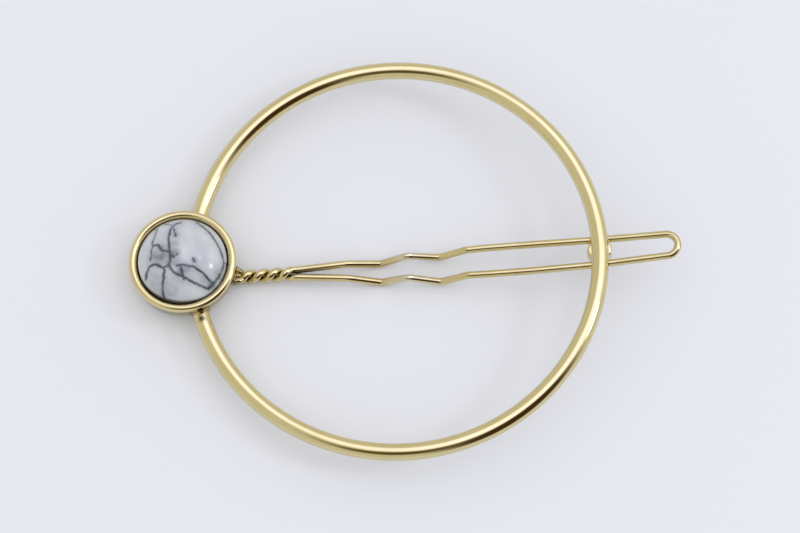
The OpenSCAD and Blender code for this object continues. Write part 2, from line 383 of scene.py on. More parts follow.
def mixed(tree, share, first, second):
    """Tone that lies that share of the way from the first to the second."""
    inputs = {"Factor": share, MIX_FIRST: first, MIX_SECOND: second}
    return node(tree, "ShaderNodeMix", inputs, data_type="RGBA").outputs[MIX_RESULT]


def ramped(tree, amount, low, high):
    """Tone on a ramp between two ends, each given as its position and its tone."""
    ramp = node(tree, "ShaderNodeValToRGB", {"Fac": amount})
    for element, (position, tone) in zip(ramp.color_ramp.elements, (low, high)):
        element.position = position
        element.color = (*tone, 1)
    return ramp.outputs["Color"]


def ranged(tree, value, start, end, low=0, high=1, ease="SMOOTHSTEP"):
    """Number that goes from low to high while the value goes from start to end."""
    inputs = {"Value": value, "From Min": start, "From Max": end, "To Min": low, "To Max": high}
    return node(tree, "ShaderNodeMapRange", inputs, interpolation_type=ease).outputs["Result"]


def grain(tree, place, scale, detail=2):
    """Smooth noise over the given coordinates."""
    inputs = {"Vector": place, "Scale": scale, "Detail": detail}
    return node(tree, "ShaderNodeTexNoise", inputs).outputs["Fac"]


def own_place(tree):
    """Coordinates on the piece itself."""
    return node(tree, "ShaderNodeTexCoord").outputs["Object"]


def painted(tree, name):
    """Number that the mesh holds under that name."""
    return node(tree, "ShaderNodeAttribute", attribute_name=name).outputs["Fac"]


def mirrored_ray(tree):
    """1 for rays that metal and glass send out, and 0 for all others."""
    path = node(tree, "ShaderNodeLightPath").outputs
    return computed(tree, "MAXIMUM", path["Is Glossy Ray"], path["Is Transmission Ray"])


def new_material(name):
    material = bpy.data.materials.new(name)
    material.use_nodes = True
    tree = material.node_tree
    return material, tree, tree.nodes["Principled BSDF"]


def polish_marks():
    """Clouding and fine marks of a handled, polished surface."""
    group = bpy.data.node_groups.new("polish marks", "ShaderNodeTree")
    for name in ("Cloud Scale", "Mark Scale", "Roughness", "Spread", "Depth"):
        group.interface.new_socket(name, in_out="INPUT", socket_type="NodeSocketFloat")
    group.interface.new_socket("Cloud", in_out="OUTPUT", socket_type="NodeSocketFloat")
    group.interface.new_socket("Roughness", in_out="OUTPUT", socket_type="NodeSocketFloat")
    group.interface.new_socket("Normal", in_out="OUTPUT", socket_type="NodeSocketVector")
    given = node(group, "NodeGroupInput")
    place = own_place(group)
    cloud = grain(group, place, given.outputs["Cloud Scale"], detail=3)
    marks = grain(group, place, given.outputs["Mark Scale"], detail=6)
    spread = computed(group, "MULTIPLY", marks, given.outputs["Spread"])
    rough = computed(group, "ADD", spread, given.outputs["Roughness"], use_clamp=True)
    bump = node(group, "ShaderNodeBump",
                {"Strength": 1, "Distance": given.outputs["Depth"], "Height": marks})
    node(group, "NodeGroupOutput",
         {"Cloud": cloud, "Roughness": rough, "Normal": bump.outputs["Normal"]})
    return group


POLISH_MARKS = polish_marks()


def polish(tree, shader, cloud_scale, mark_scale, roughness, spread, depth):
    """Gives a shader the polish marks' roughness and normal, and returns their clouding."""
    inputs = {"Cloud Scale": cloud_scale, "Mark Scale": mark_scale, "Roughness": roughness,
              "Spread": spread, "Depth": depth}
    marks = node(tree, "ShaderNodeGroup", inputs, node_tree=POLISH_MARKS)
    feed(shader.inputs["Roughness"], marks.outputs["Roughness"])
    feed(shader.inputs["Normal"], marks.outputs["Normal"])
    return marks.outputs["Cloud"]


# Materials. Where the clouding is low the plating has its worn tone, and where it is high
# its own.
CLOUD_LOW, CLOUD_HIGH = 0.3, 0.62
# Dark brown of painted shade and reflection at joints, ends and hollows
PAINTED_SHADE_TONE = (0.05, 0.03, 0.012)
# Pale silver where wear bares the plating, partly a painted sheen
BARE_AND_SHEEN_TONE = (0.84, 0.82, 0.70)


def plated(name, tone, worn_tone, **finish):
    """Gold plating over a polished metal: its tone clouds a little towards worn_tone, and it takes
    painted shade and reflection where one of the mesh's own attributes says so, and wear with a
    painted sheen where the other does."""
    material, tree, shader = new_material(name)
    cloud = polish(tree, shader, **finish)
    clouded = ramped(tree, cloud, (CLOUD_LOW, worn_tone), (CLOUD_HIGH, tone))
    stained_and_shaded = mixed(tree, painted(tree, "painted_shade"), clouded, PAINTED_SHADE_TONE)
    bared_and_sheened = mixed(tree, painted(tree, "worn_and_sheen"), stained_and_shaded, BARE_AND_SHEEN_TONE)
    feed(shader.inputs["Base Color"], bared_and_sheened)
    feed(shader.inputs["Metallic"], 1)
    return material


# The stone's own tones, and where its clouding passes from the one to the other
STONE_GREY = (0.50, 0.52, 0.56)
STONE_WHITE = (0.66, 0.675, 0.71)
STONE_CLOUD_SCALE = 330
STONE_CLOUD_LOW, STONE_CLOUD_HIGH = 0.32, 0.62
# A vein's frayed edge, and the distances from it, in millimetres, at which its line is gone
# and whole
VEIN_TONE = (0.06, 0.067, 0.09)
VEIN_FRAY = 0.22
VEIN_FRAY_SCALE = 2600
VEIN_GONE, VEIN_WHOLE = 0.19, -0.09
# The faint stain beside the veins, and how strong it is
STAIN_TONE = (0.33, 0.35, 0.40)
STAIN_GONE, STAIN_WHOLE = 0.75, 0
STAIN_STRONG = 0.34
# Smoke, and how its wisps thin it out and thicken it
SMOKE_TONE = (0.085, 0.095, 0.125)
WISP_SCALE = 1500
WISP_LOW, WISP_HIGH = 0.3, 0.65
WISP_THIN, WISP_THICK = 0.55, 1.1
# Painted shade at the stone's edge
RIM_SHADE_TONE = (0.045, 0.034, 0.02)


def veined_stone():
    """White stone with grey veins, smoke and painted shade round its edge, painted on its mesh."""
    material, tree, shader = new_material("veined white stone")
    place = own_place(tree)
    body = ramped(tree, grain(tree, place, STONE_CLOUD_SCALE, detail=4),
                  (STONE_CLOUD_LOW, STONE_GREY), (STONE_CLOUD_HIGH, STONE_WHITE))
    ragged = grain(tree, place, VEIN_FRAY_SCALE, detail=5)
    fray = computed(tree, "MULTIPLY_ADD", ragged, VEIN_FRAY, -VEIN_FRAY / 2)
    edge = computed(tree, "ADD", painted(tree, "vein"), fray)
    stain = computed(tree, "MULTIPLY", ranged(tree, edge, STAIN_GONE, STAIN_WHOLE), STAIN_STRONG)
    stained_and_shaded = mixed(tree, stain, body, STAIN_TONE)
    wisps = ranged(tree, grain(tree, place, WISP_SCALE, detail=4), WISP_LOW, WISP_HIGH,
                   WISP_THIN, WISP_THICK, ease="LINEAR")
    smoke = computed(tree, "MULTIPLY", painted(tree, "smoke"), wisps)
    smoked = mixed(tree, smoke, stained_and_shaded, SMOKE_TONE)
    veined = mixed(tree, ranged(tree, edge, VEIN_GONE, VEIN_WHOLE), smoked, VEIN_TONE)
    # Painted shade round the stone's edge
    rimmed = mixed(tree, painted(tree, "rim"), veined, RIM_SHADE_TONE)
    feed(shader.inputs["Base Color"], rimmed)
    polish(tree, shader, cloud_scale=500, mark_scale=2200, roughness=0.1, spread=0.16,
           depth=0.0015 * MM)
    for key, value in (("IOR", 1.54), ("Coat Weight", 0.25), ("Coat Roughness", 0.06)):
        feed(shader.inputs[key], value)
    return material


# Lumps of the glue, from their dark tone to their pale one. Both are dark brown: partly the
# glue's own colour, partly painted shade in the gap between stone and lip
GLUE_LUMP_SCALE = 900
GLUE_DARK = (0.08, 0.055, 0.025)
GLUE_PALE = (0.22, 0.165, 0.085)


def cured_glue():
    material, tree, shader = new_material("cured glue")
    lumps = grain(tree, own_place(tree), GLUE_LUMP_SCALE)
    feed(shader.inputs["Base Color"], ramped(tree, lumps, (0, GLUE_DARK), (1, GLUE_PALE)))
    feed(shader.inputs["Roughness"], 0.25)
    return material


GOLD = plated("gold plating", (0.84, 0.705, 0.35), (0.80, 0.66, 0.315), cloud_scale=260,
              mark_scale=5200, roughness=0.05, spread=0.07, depth=0.0006 * MM)
# The pin's plating is darker and browner than the ring's: partly its own finish, partly painted dark
# reflection
GOLD_WIRE = plated("gold plated spring wire", (0.78, 0.65, 0.32), (0.70, 0.56, 0.255),
                   cloud_scale=420, mark_scale=7000, roughness=0.08, spread=0.1,
                   depth=0.001 * MM)
SOLDER = plated("plated solder", (0.52, 0.39, 0.19), (0.22, 0.145, 0.06), cloud_scale=900,
                mark_scale=3000, roughness=0.14, spread=0.2, depth=0.004 * MM)
STONE = veined_stone()
GLUE = cured_glue()


# Ring: one wire bent into an open circle, whose ends run into the cup's wall
def angle_to_wall(wall_r):
    """Angle at the ring's centre between the cup's middle and the wire at that radius."""
    reach = RING_AT.x - CUP_AT.x
    return math.acos((RING_R ** 2 + reach ** 2 - wall_r ** 2) / (2 * RING_R * reach))


# Painted shade and reflection at the near solder joint, where the ring meets the cup's near side
NEAR_JOINT_SHADE_PLACES = [((-22.74, -5.78, 0.95), 0.45, 0.97), ((-22.68, -6.74, 0.95), 0.42, 0.95)]


def make_ring():
    bm = bmesh.new()
    start = math.pi - angle_to_wall(CUP_R - RING_SINK)
    stand = (Matrix.Translation(RING_AT) @ Matrix.Rotation(-start, 4, "Z")
             @ Matrix.Translation((RING_R, 0, 0)) @ Matrix.Rotation(math.pi / 2, 4, "X"))
    bmesh.ops.create_circle(bm, segments=WIRE_SIDES, radius=WIRE_R, cap_ends=True, matrix=stand)
    bmesh.ops.spin(bm, geom=bm.faces[:] + bm.edges[:] + bm.verts[:], cent=RING_AT,
                   axis=(0, 0, 1), angle=2 * start, steps=RING_STEPS)
    bmesh.ops.recalc_face_normals(bm, faces=bm.faces)
    ring = finish_piece(bm, "ring_wire", GOLD, "gold_plate", "frame", "ring")
    # Painted shade and reflection at the near joint
    mark(ring, "painted_shade", NEAR_JOINT_SHADE_PLACES)


# Cup: flat back, upright wall and a rounded lip
def make_cup():
    lip_r = LIP_OUT_R - LIP_BEAD_R
    lip_z = CUP_H - LIP_BEAD_R
    inner_r = CUP_R - CUP_WALL
    outer_meet = math.degrees(math.acos((CUP_R - lip_r) / LIP_BEAD_R))
    inner_meet = math.degrees(math.acos((lip_r - inner_r) / LIP_BEAD_R))
    profile = [(0, 0), (CUP_R / 2, 0)]
    profile += arc((CUP_R - CUP_EDGE_R, CUP_EDGE_R), CUP_EDGE_R, -90, 0, CUP_EDGE_STEPS)
    profile += arc((lip_r, lip_z), LIP_BEAD_R, -outer_meet, 180 + inner_meet, BEAD_STEPS)
    profile += arc((inner_r - CUP_EDGE_R, CUP_FLOOR + CUP_EDGE_R), CUP_EDGE_R, 0, -90,
                   CUP_CORNER_STEPS)
    profile += [(CUP_R / 2, CUP_FLOOR), (0, CUP_FLOOR)]
    bm = turned(profile)
    bmesh.ops.translate(bm, verts=bm.verts, vec=CUP_AT)
    finish_piece(bm, "stone_setting_cup", GOLD, "gold_plate", "frame", "stone_cup")


# Stone: a dome on a short upright edge. Its veins are drawn as shares of its radius, each
# with the vein's half width in millimetres.
VEINS = [
    (0.06, [(0.34, 0.89), (0.45, 0.78), (0.55, 0.68), (0.68, 0.52), (0.78, 0.35), (0.87, 0.16),
            (0.92, -0.01), (0.94, -0.13), (0.90, -0.29), (0.83, -0.44), (0.74, -0.57),
            (0.64, -0.68)]),
    (0.05, [(0.94, -0.13), (0.98, -0.13), (1.01, -0.13)]),
    (0.08, [(-0.01, 0.86), (-0.11, 0.81), (-0.17, 0.74), (-0.22, 0.67), (-0.24, 0.55),
            (-0.26, 0.40), (-0.25, 0.24), (-0.24, 0.12), (-0.22, 0.01), (-0.22, -0.08),
            (-0.23, -0.17), (-0.27, -0.26)]),
    (0.04, [(-0.36, 0.86), (-0.25, 0.81), (-0.15, 0.76)]),
    (0.07, [(-0.15, 0.65), (-0.12, 0.53), (-0.10, 0.44)]),
    (0.035, [(-0.55, 0.75), (-0.58, 0.57), (-0.63, 0.41), (-0.64, 0.25), (-0.66, 0.13),
            (-0.68, -0.02), (-0.69, -0.07)]),
    (0.1, [(-0.62, 0.26), (-0.56, 0.28), (-0.49, 0.25), (-0.46, 0.18), (-0.42, 0.12),
            (-0.35, 0.09), (-0.27, 0.06), (-0.22, 0.00), (-0.21, -0.10)]),
    (0.085, [(-0.81, -0.43), (-0.78, -0.32), (-0.74, -0.24), (-0.67, -0.19), (-0.58, -0.19),
            (-0.48, -0.24), (-0.40, -0.29), (-0.33, -0.28), (-0.26, -0.25)]),
    (0.1, [(-0.40, -0.29), (-0.37, -0.36), (-0.38, -0.43), (-0.40, -0.55), (-0.42, -0.67),
            (-0.43, -0.78), (-0.41, -0.87)]),
    (0.08, [(-0.26, -0.26), (-0.18, -0.39), (-0.09, -0.46), (0.04, -0.52), (0.17, -0.59),
            (0.30, -0.65), (0.44, -0.70), (0.57, -0.74)]),
    (0.075, [(-0.08, -0.29), (-0.01, -0.28), (0.08, -0.28), (0.19, -0.30), (0.30, -0.32),
            (0.40, -0.38), (0.51, -0.45), (0.58, -0.53), (0.64, -0.58), (0.71, -0.61)]),
    (0.085, [(0.01, -0.29), (0.02, -0.37), (0.03, -0.44), (0.05, -0.51)]),
    (0.09, [(0.29, -0.14), (0.31, -0.19)]),
    (0.07, [(-0.07, -0.03), (-0.07, -0.04)]),
    (0.06, [(-0.14, -0.08), (-0.20, -0.03), (-0.23, 0.01)]),
    (0.11, [(0.71, -0.61), (0.65, -0.67), (0.59, -0.73)]),
    (0.06, [(0.06, -0.55), (0.07, -0.58)]),
]
VEIN_SAMPLES = 24
# How far a vein wanders off its drawn line, how much its width swells, and over what lengths
VEIN_WANDER = 0.05 * MM
VEIN_WANDER_SCALE = 2500
VEIN_SWELL_SHARE = 0.6
VEIN_SWELL_SCALE = 1300
VEIN_SWELL_SHIFT = Vector((3, 1, 2))
# Smoky places of the stone: where and how wide, as shares of its radius, and how strong
SMOKE = [
    (-0.41, -0.05, 0.18, 0.70),
    (-0.22, -0.01, 0.08, 0.95),
    (-0.11, 0.03, 0.11, 0.63),
    (-0.26, -0.25, 0.08, 0.70),
    (-0.08, -0.18, 0.14, 0.49),
    (-0.12, 0.23, 0.11, 0.49),
    (-0.58, 0.01, 0.11, 0.49),
    (-0.32, 0.14, 0.09, 0.56),
    (-0.19, -0.04, 0.07, 0.84),
    (0.02, -0.39, 0.09, 0.84),
    (0.67, -0.65, 0.08, 0.95),
    (0.16, -0.34, 0.09, 0.42),
    (0.31, -0.17, 0.07, 0.56),
    (-0.60, -0.51, 0.20, 0.35),
    (-0.22, -0.77, 0.25, 0.31),
    (-0.11, 0.50, 0.07, 0.56),
    (-0.46, 0.20, 0.07, 0.56),
    (0.85, -0.41, 0.14, 0.35),
    (0.53, -0.57, 0.11, 0.35),
]
# Painted shade round the stone's edge: the side where it is strongest, in degrees, its width
# there and the width over which it fades, as shares of the radius, its strength, and how steeply
# it grows towards that side
RIM_SHADE_SIDE = -108
RIM_SHADE_WIDE_SHARE = 0.05
RIM_SHADE_FADE_SHARE = 0.03
RIM_SHADE_STRONG = 0.92
RIM_SHADE_SIDE_GAIN = 3


def vein_tree():
    """Every vein as closely spaced places on the stone's plan, with its half width."""
    places = []
    for half, points in VEINS:
        line = smooth_through([Vector((x, y, 0)) * STONE_R for x, y in points], VEIN_SAMPLES)
        for p in line:
            wander = noise.noise(p * VEIN_WANDER_SCALE) * VEIN_WANDER
            swell = 1 + VEIN_SWELL_SHARE * noise.noise(p * VEIN_SWELL_SCALE + VEIN_SWELL_SHIFT)
            places.append((p + Vector((wander, -wander, 0)), half * swell))
    tree = KDTree(len(places))
    for i, (p, half) in enumerate(places):
        tree.insert(p, i)
    tree.balance()
    return tree, [half for p, half in places]


def vein_distances(plan):
    """Distance in millimetres from each place on the plan to the nearest vein's edge."""
    tree, halves = vein_tree()
    nearest = [tree.find((p.x, p.y, 0)) for p in plan]
    return [away / MM - halves[i] for at, i, away in nearest]


def smoke_at(x, y):
    """How smoky the stone is at a place on its plan, from 0 to 1."""
    clear = 1
    for at_x, at_y, wide, strong in SMOKE:
        clear *= 1 - strong * math.exp(-((x - at_x) ** 2 + (y - at_y) ** 2) / wide ** 2)
    return 1 - clear


def rim_at(x, y):
    """How much painted shade darkens the stone's edge, from 0 to 1: most on the near side."""
    side = max(0, math.cos(math.atan2(y, x) - math.radians(RIM_SHADE_SIDE)))
    start = 1 - RIM_SHADE_WIDE_SHARE * side ** 3
    depth = min(1, max(0, (math.hypot(x, y) - start) / RIM_SHADE_FADE_SHARE))
    return RIM_SHADE_STRONG * depth * min(1, side * RIM_SHADE_SIDE_GAIN)


def make_stone():
    bm = bmesh.new()
    bmesh.ops.create_grid(bm, x_segments=STONE_GRID, y_segments=STONE_GRID, size=1)
    for v in bm.verts:
        x, y = v.co.x, v.co.y
        flat = Vector((x * math.sqrt(1 - y * y / 2), y * math.sqrt(1 - x * x / 2), 0)) * STONE_R
        height = math.sqrt(max(0, DOME_R ** 2 - flat.length_squared)) - (DOME_R - STONE_DOME_H)
        v.co = flat + Vector((0, 0, STONE_EDGE_H + height))
    border = [e for e in bm.edges if e.is_boundary]
    for drop, draw_in in ((STONE_EDGE_H - STONE_CHAMFER, 0), (STONE_CHAMFER, STONE_CHAMFER)):
        grown = bmesh.ops.extrude_edge_only(bm, edges=border)["geom"]
        border = [g for g in grown if isinstance(g, bmesh.types.BMEdge)]
        lower = [g for g in grown if isinstance(g, bmesh.types.BMVert)]
        share = 1 - draw_in / STONE_R
        bmesh.ops.translate(bm, verts=lower, vec=(0, 0, -drop))
        bmesh.ops.scale(bm, verts=lower, vec=(share, share, 1))
    bmesh.ops.contextual_create(bm, geom=border)
    bmesh.ops.triangulate(bm, faces=[f for f in bm.faces if len(f.verts) > 4])
    bmesh.ops.recalc_face_normals(bm, faces=bm.faces)
    plan = [v.co.copy() for v in bm.verts]
    shares = [(p.x / STONE_R, p.y / STONE_R) for p in plan]
    bmesh.ops.translate(bm, verts=bm.verts, vec=STONE_AT)
    stone = finish_piece(bm, "veined_cabochon", STONE, "stone", "frame", "cabochon")
    paint(stone, "vein", vein_distances(plan))
    paint(stone, "smoke", [smoke_at(x, y) for x, y in shares])
    # Painted shade round the stone's edge, most on its near side
    paint(stone, "rim", [rim_at(x, y) for x, y in shares])


def make_glue():
    """The cured bed under the stone, squeezed up a little round its edge."""
    base = glue_low.z - CUP_AT.z
    reach = (glue_high.y - glue_low.y) / 2
    thick = glue_high.z - glue_low.z
    profile = [(0, base), (reach, base)]
    profile += arc((reach - thick, base + thick / 2), thick, GLUE_RIM_START, 90, GLUE_RIM_STEPS)
    profile += [(GLUE_TOP_R, base + thick), (0, base + thick)]
    bm = turned(profile, GLUE_TURN_STEPS)
    bmesh.ops.translate(bm, verts=bm.verts, vec=CUP_AT)
    finish_piece(bm, "glue_bed", GLUE, "glue", "frame", "adhesive_bed")


# Pin: one wire, from its soldered end through the twist, out along one leg, round the fold
# and back. Its own frame has its origin under the ring and its X axis towards the fold.
PIN_PLACE = Matrix.Translation(CROSSING) @ Matrix.Rotation(PIN_YAW, 4, "Z")
PIN_PLACE_BACK = PIN_PLACE.inverted()
CUP_ON_PIN = PIN_PLACE_BACK @ CUP_AT


def leg_stations(side):
    """Corners of the leg on one side, 1 or -1, from the twist to the fold."""
    inner = [(HINGE_U * (1 - along), LEG_SPREAD / 2 * out, -CRIMP_DEPTH * deep)
             for along, out, deep, soft in LEG_SHARES]
    outer = [(0, CROSS_SPREAD / 2, 0), (TIP_OUT - PIN_R, TIP_SPREAD / 2, TIP_RISE)]
    return [Vector((u, side * v + TIP_SKEW * max(0, u) / TIP_OUT, w))
            for u, v, w in [(HINGE_U, HELIX_R, 0)] + inner + outer]


def rounded_corner(before, corner, after, run):
    """Points along the arc that rounds a corner and takes up the given run of each side."""
    d1, d2 = (corner - before).normalized(), (after - corner).normalized()
    turn = d1.angle(d2)
    radius = run / math.tan(turn / 2)
    out = d1.cross(d1.cross(d2).normalized())
    centre = corner - d1 * run - out * radius
    steps = max(2, math.ceil(turn / BEND_STEP))
    return [centre + radius * (math.cos(turn * i / steps) * out + math.sin(turn * i / steps) * d1)
            for i in range(steps + 1)]


def leg_points(side):
    """Middle line of one leg, with its crimps and its half of the fold."""
    stations = leg_stations(side)
    fold = leg_stations(-side)[-1]
    soft_shares = [soft for along, out, deep, soft in LEG_SHARES] + [CROSS_BEND_SHARE, 0]
    line = [stations[0]]
    for before, corner, after, soft in zip(stations, stations[1:], stations[2:] + [fold],
                                           soft_shares):
        turn = (corner - before).angle(after - corner)
        run = CRIMP_BEND_R * soft * math.tan(turn / 2) if soft else TIP_SPREAD / 2
        line += rounded_corner(before, corner, after, run)
    return line


def eased(s):
    """Share of the twist's turning that is done at share s of its length."""
    e = TWIST_EASE_SHARE
    return (s * s / (2 * e) if s < e else s - e / 2) / (1 - e / 2)


def helix(k, s):
    """Point of strand 0 or 1 at share s of the twist, from the legs to the splayed ends."""
    a = 2 * math.pi * TWIST_TURNS * eased(s) + math.pi * k
    return Vector((HINGE_U - TWIST_LEAD - (TWIST_LEN - TWIST_LEAD) * s,
                   HELIX_R * math.cos(a), HELIX_R * math.sin(a)))


def strand_points(k):
    """Middle line of strand 0 or 1, from its end at the cup's wall to the twist's far end."""
    end = helix(k, 1)
    side = 1 if end.y > 0 else -1
    v = side * SPLAY_SPREAD / 2
    seat = Vector((CUP_ON_PIN.x + math.sqrt((CUP_R + ARM_STAND) ** 2 - (v - CUP_ON_PIN.y) ** 2),
                   v, CUP_ON_PIN.z + SPLAY_LIFT))
    square = (seat - Vector((CUP_ON_PIN.x, CUP_ON_PIN.y, seat.z))).normalized()
    outward = (square + (end - seat).normalized()).normalized()
    straight = seat + outward * ARM_TAIL
    reach = (straight - end).length * ARM_HANDLE_SHARE
    onward = (end - helix(k, 1 - TWIST_AIM_SHARE)).normalized()
    handles = (straight, straight + outward * reach, end + onward * reach, end)
    arm = [bezier(*handles, i / ARM_STEPS) for i in range(ARM_STEPS)]
    twist = [helix(k, 1 - i / TWIST_STEPS) for i in range(TWIST_STEPS + 1)]
    return [seat] + arm + twist, seat, outward


def swept_wire(name, points, radius, material):
    """A round wire along the points, as a finished mesh object."""
    curve = bpy.data.curves.new(name, "CURVE")
    curve.dimensions = "3D"
    curve.bevel_depth = radius
    curve.bevel_resolution = WIRE_BEVEL
    curve.use_fill_caps = True
    spline = curve.splines.new("POLY")
    spline.points.add(len(points) - 1)
    for point, p in zip(spline.points, points):
        point.co = (*p, 1)
    held = bpy.data.objects.new(name, curve)
    bpy.context.scene.collection.objects.link(held)
    bpy.context.view_layer.update()
    mesh = bpy.data.meshes.new_from_object(held.evaluated_get(bpy.context.evaluated_depsgraph_get()))
    bpy.data.objects.remove(held)
    bpy.data.curves.remove(curve)
    bm = bmesh.new()
    bm.from_mesh(mesh)
    close_seams(bm)
    bm.to_mesh(mesh)
    bm.free()
    return add_object(name, mesh, material)


# How far, in millimetres, painted shade darkens the pin's ends where they meet the cup's wall, and
# how much
PIN_END_SHADE_WIDE = 0.8
PIN_END_SHADE_STRONG = 0.6
# Which station is the top between the crimps, how far, in millimetres, the plating there is
# paled by the bending tool's wear and by a painted sheen, and how much
CRIMP_TOP = 3
CRIMP_WEAR_AND_SHEEN_WIDE = 1.1
CRIMP_WEAR_AND_SHEEN_STRONG = 0.45
# Painted shade in the twist's hollows: how far from the twist's middle it still darkens, over
# what share of that it fades in, and how dark it is
TWIST_SHADE_R = 1.35 * PIN_R
TWIST_SHADE_FADE_SHARE = 0.4
TWIST_SHADE_STRONG = 0.85


def twist_hollow_shade(at):
    """How much painted shade a place on the pin gets in the hollows between the twisted strands."""
    p = PIN_PLACE_BACK @ at
    if not HINGE_U - TWIST_LEN - PIN_R < p.x < HINGE_U + TWIST_LEAD:
        return 0
    deep = (TWIST_SHADE_R - math.hypot(p.y, p.z)) / (TWIST_SHADE_R * TWIST_SHADE_FADE_SHARE)
    return TWIST_SHADE_STRONG * min(1, max(0, deep))


def from_ring(p):
    """Place in the pin's frame as millimetres from the ring's centre."""
    return (PIN_PLACE @ p - RING_AT) / MM


def make_pin():
    """Makes the pin, and returns where its two ends are soldered and the way each points."""
    near, near_seat, near_out = strand_points(0)
    far, far_seat, far_out = strand_points(1)
    back = list(reversed(leg_points(-1)))
    whole = near + leg_points(1) + back[1:] + list(reversed(far))
    pin = swept_wire("sprung_pin_wire", [PIN_PLACE @ p for p in whole], PIN_R, GOLD_WIRE)
    # Painted shade at the pin's ends, where they meet the cup's wall, and in the twist's hollows
    ends = [(from_ring(seat), PIN_END_SHADE_WIDE, PIN_END_SHADE_STRONG) for seat in (near_seat, far_seat)]
    mark(pin, "painted_shade", ends, twist_hollow_shade)
    # Wear at the crimp tops, with a painted sheen
    tops = [from_ring(leg_stations(side)[CRIMP_TOP]) for side in (1, -1)]
    mark(pin, "worn_and_sheen", [(top, CRIMP_WEAR_AND_SHEEN_WIDE, CRIMP_WEAR_AND_SHEEN_STRONG) for top in tops])
    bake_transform(pin)
    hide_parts("pin_root", "pin_legs")
    return [(near_seat, near_out), (far_seat, far_out)]


# Solder: a drawn-in collar where each round wire meets the cup's wall
def solder_collar(seat, outward, wire_r, width, length, sink, seed):
    """A collar round a wire, from a little inside the wall to where it thins out on the wire."""
    core_r = wire_r * COLLAR_CORE_SHARE
    profile = [(core_r, -sink), (wire_r + width, -sink)]
    profile += [(wire_r + width * (1 - s) ** 2, length * s) for s in COLLAR_SHARES]
    profile += [(core_r, length)]
    bm = turned(profile, COLLAR_TURN_STEPS)
    roughen(bm, width * LUMP_HIGH_SHARE, 1 / (width * LUMP_LONG_SHARE), seed)
    turn = outward.to_track_quat("Z", "Y").to_matrix().to_4x4()
    bmesh.ops.transform(bm, matrix=Matrix.Translation(seat) @ turn, verts=bm.verts)
    return bm


def solder_web(seat, other_seat):
    """The solder that joins the pin's two ends, with lumps that follow the wire's radius."""
    web = bmesh.new()
    bmesh.ops.create_uvsphere(web, u_segments=WEB_SEGMENTS, v_segments=WEB_RINGS, radius=1)
    bmesh.ops.scale(web, verts=web.verts, vec=(WEB_OUT, SPLAY_SPREAD / 2 - PIN_R / 2, WEB_HIGH))
    roughen(web, PIN_R * LUMP_HIGH_SHARE, 1 / PIN_R, WEB_SEED)
    middle = (seat + other_seat) / 2
    bmesh.ops.translate(web, verts=web.verts, vec=middle - Vector((0, 0, WEB_DROP)))
    return web


def solder_ring():
    bm = bmesh.new()
    angle = angle_to_wall(CUP_R)
    for side in (1, -1):
        a = math.pi - side * angle
        seat = RING_AT + RING_R * Vector((math.cos(a), math.sin(a), 0))
        outward = Vector((math.sin(a), -math.cos(a), 0)) * side
        merge(bm, solder_collar(seat, outward, WIRE_R, RING_FILLET, RING_COLLAR_LEN,
                                RING_COLLAR_SINK, RING_SEED * side))
    collars = finish_piece(bm, "ring_solder_collars", SOLDER, "solder", "frame", "ring_solder")
    # Painted shade and reflection at the near joint
    mark(collars, "painted_shade", NEAR_JOINT_SHADE_PLACES)


def solder_pin(pin_seats):
    bm = bmesh.new()
    for i, (seat, outward) in enumerate(pin_seats):
        merge(bm, solder_collar(seat, outward, PIN_R, PIN_FILLET, ARM_TAIL,
                                PIN_COLLAR_SINK, PIN_SEED + i))
    merge(bm, solder_web(*[seat for seat, outward in pin_seats]))
    bmesh.ops.transform(bm, matrix=PIN_PLACE, verts=bm.verts)
    finish_piece(bm, "pin_solder_collars", SOLDER, "solder", "frame", "pin_solder")


# Keeper: a round-ended stud under the ring, between the pin's legs
def make_keeper():
    bm = bmesh.new()
    bmesh.ops.create_circle(bm, segments=KEEPER_STEPS, radius=KEEPER_W / 2, cap_ends=True)
    reach = (KEEPER_L - KEEPER_W) / 2
    for v in bm.verts:
        v.co.x += reach if v.co.x > 0 else -reach
    height = keeper_high.z - keeper_low.z
    top = bmesh.ops.extrude_face_region(bm, geom=bm.faces[:])["geom"]
    bmesh.ops.translate(bm, verts=[g for g in top if isinstance(g, bmesh.types.BMVert)],
                        vec=(0, 0, height))
    rims = [e for e in bm.edges if abs(e.verts[0].co.z - e.verts[1].co.z) < LEVEL_WITHIN]
    bmesh.ops.bevel(bm, geom=rims, offset=KEEPER_EDGE_R, segments=KEEPER_EDGE_STEPS,
                    affect="EDGES", profile=0.5, material=-1)
    bmesh.ops.recalc_face_normals(bm, faces=bm.faces)
    place = Matrix.Translation((CROSSING.x, 0, keeper_low.z)) @ Matrix.Rotation(PIN_YAW, 4, "Z")
    bmesh.ops.transform(bm, matrix=place, verts=bm.verts)
    finish_piece(bm, "leg_keeper", GOLD, "gold_plate", "frame", "keeper")


# Floor: the hairpin lies on its first crimp and on its twist or the cup's back edge, so the
# floor leans a little against the ring's plane. Each foot is a place that could touch it.
CRIMP_ALONG, CRIMP_DEEP = LEG_SHARES[1][0], LEG_SHARES[1][2]
CRIMP_FOOT = PIN_PLACE @ Vector((HINGE_U * (1 - CRIMP_ALONG), 0, 0))
CRIMP_FOOT.z = CROSSING.z - CRIMP_DEPTH * CRIMP_DEEP - PIN_R + CRIMP_LIFT
CUP_FOOT = CUP_AT - Vector((CUP_R - CUP_EDGE_R, 0, 0))
TWIST_FOOT = PIN_PLACE @ Vector((HINGE_U - TWIST_LEN, 0, -PIN_R - HELIX_R))


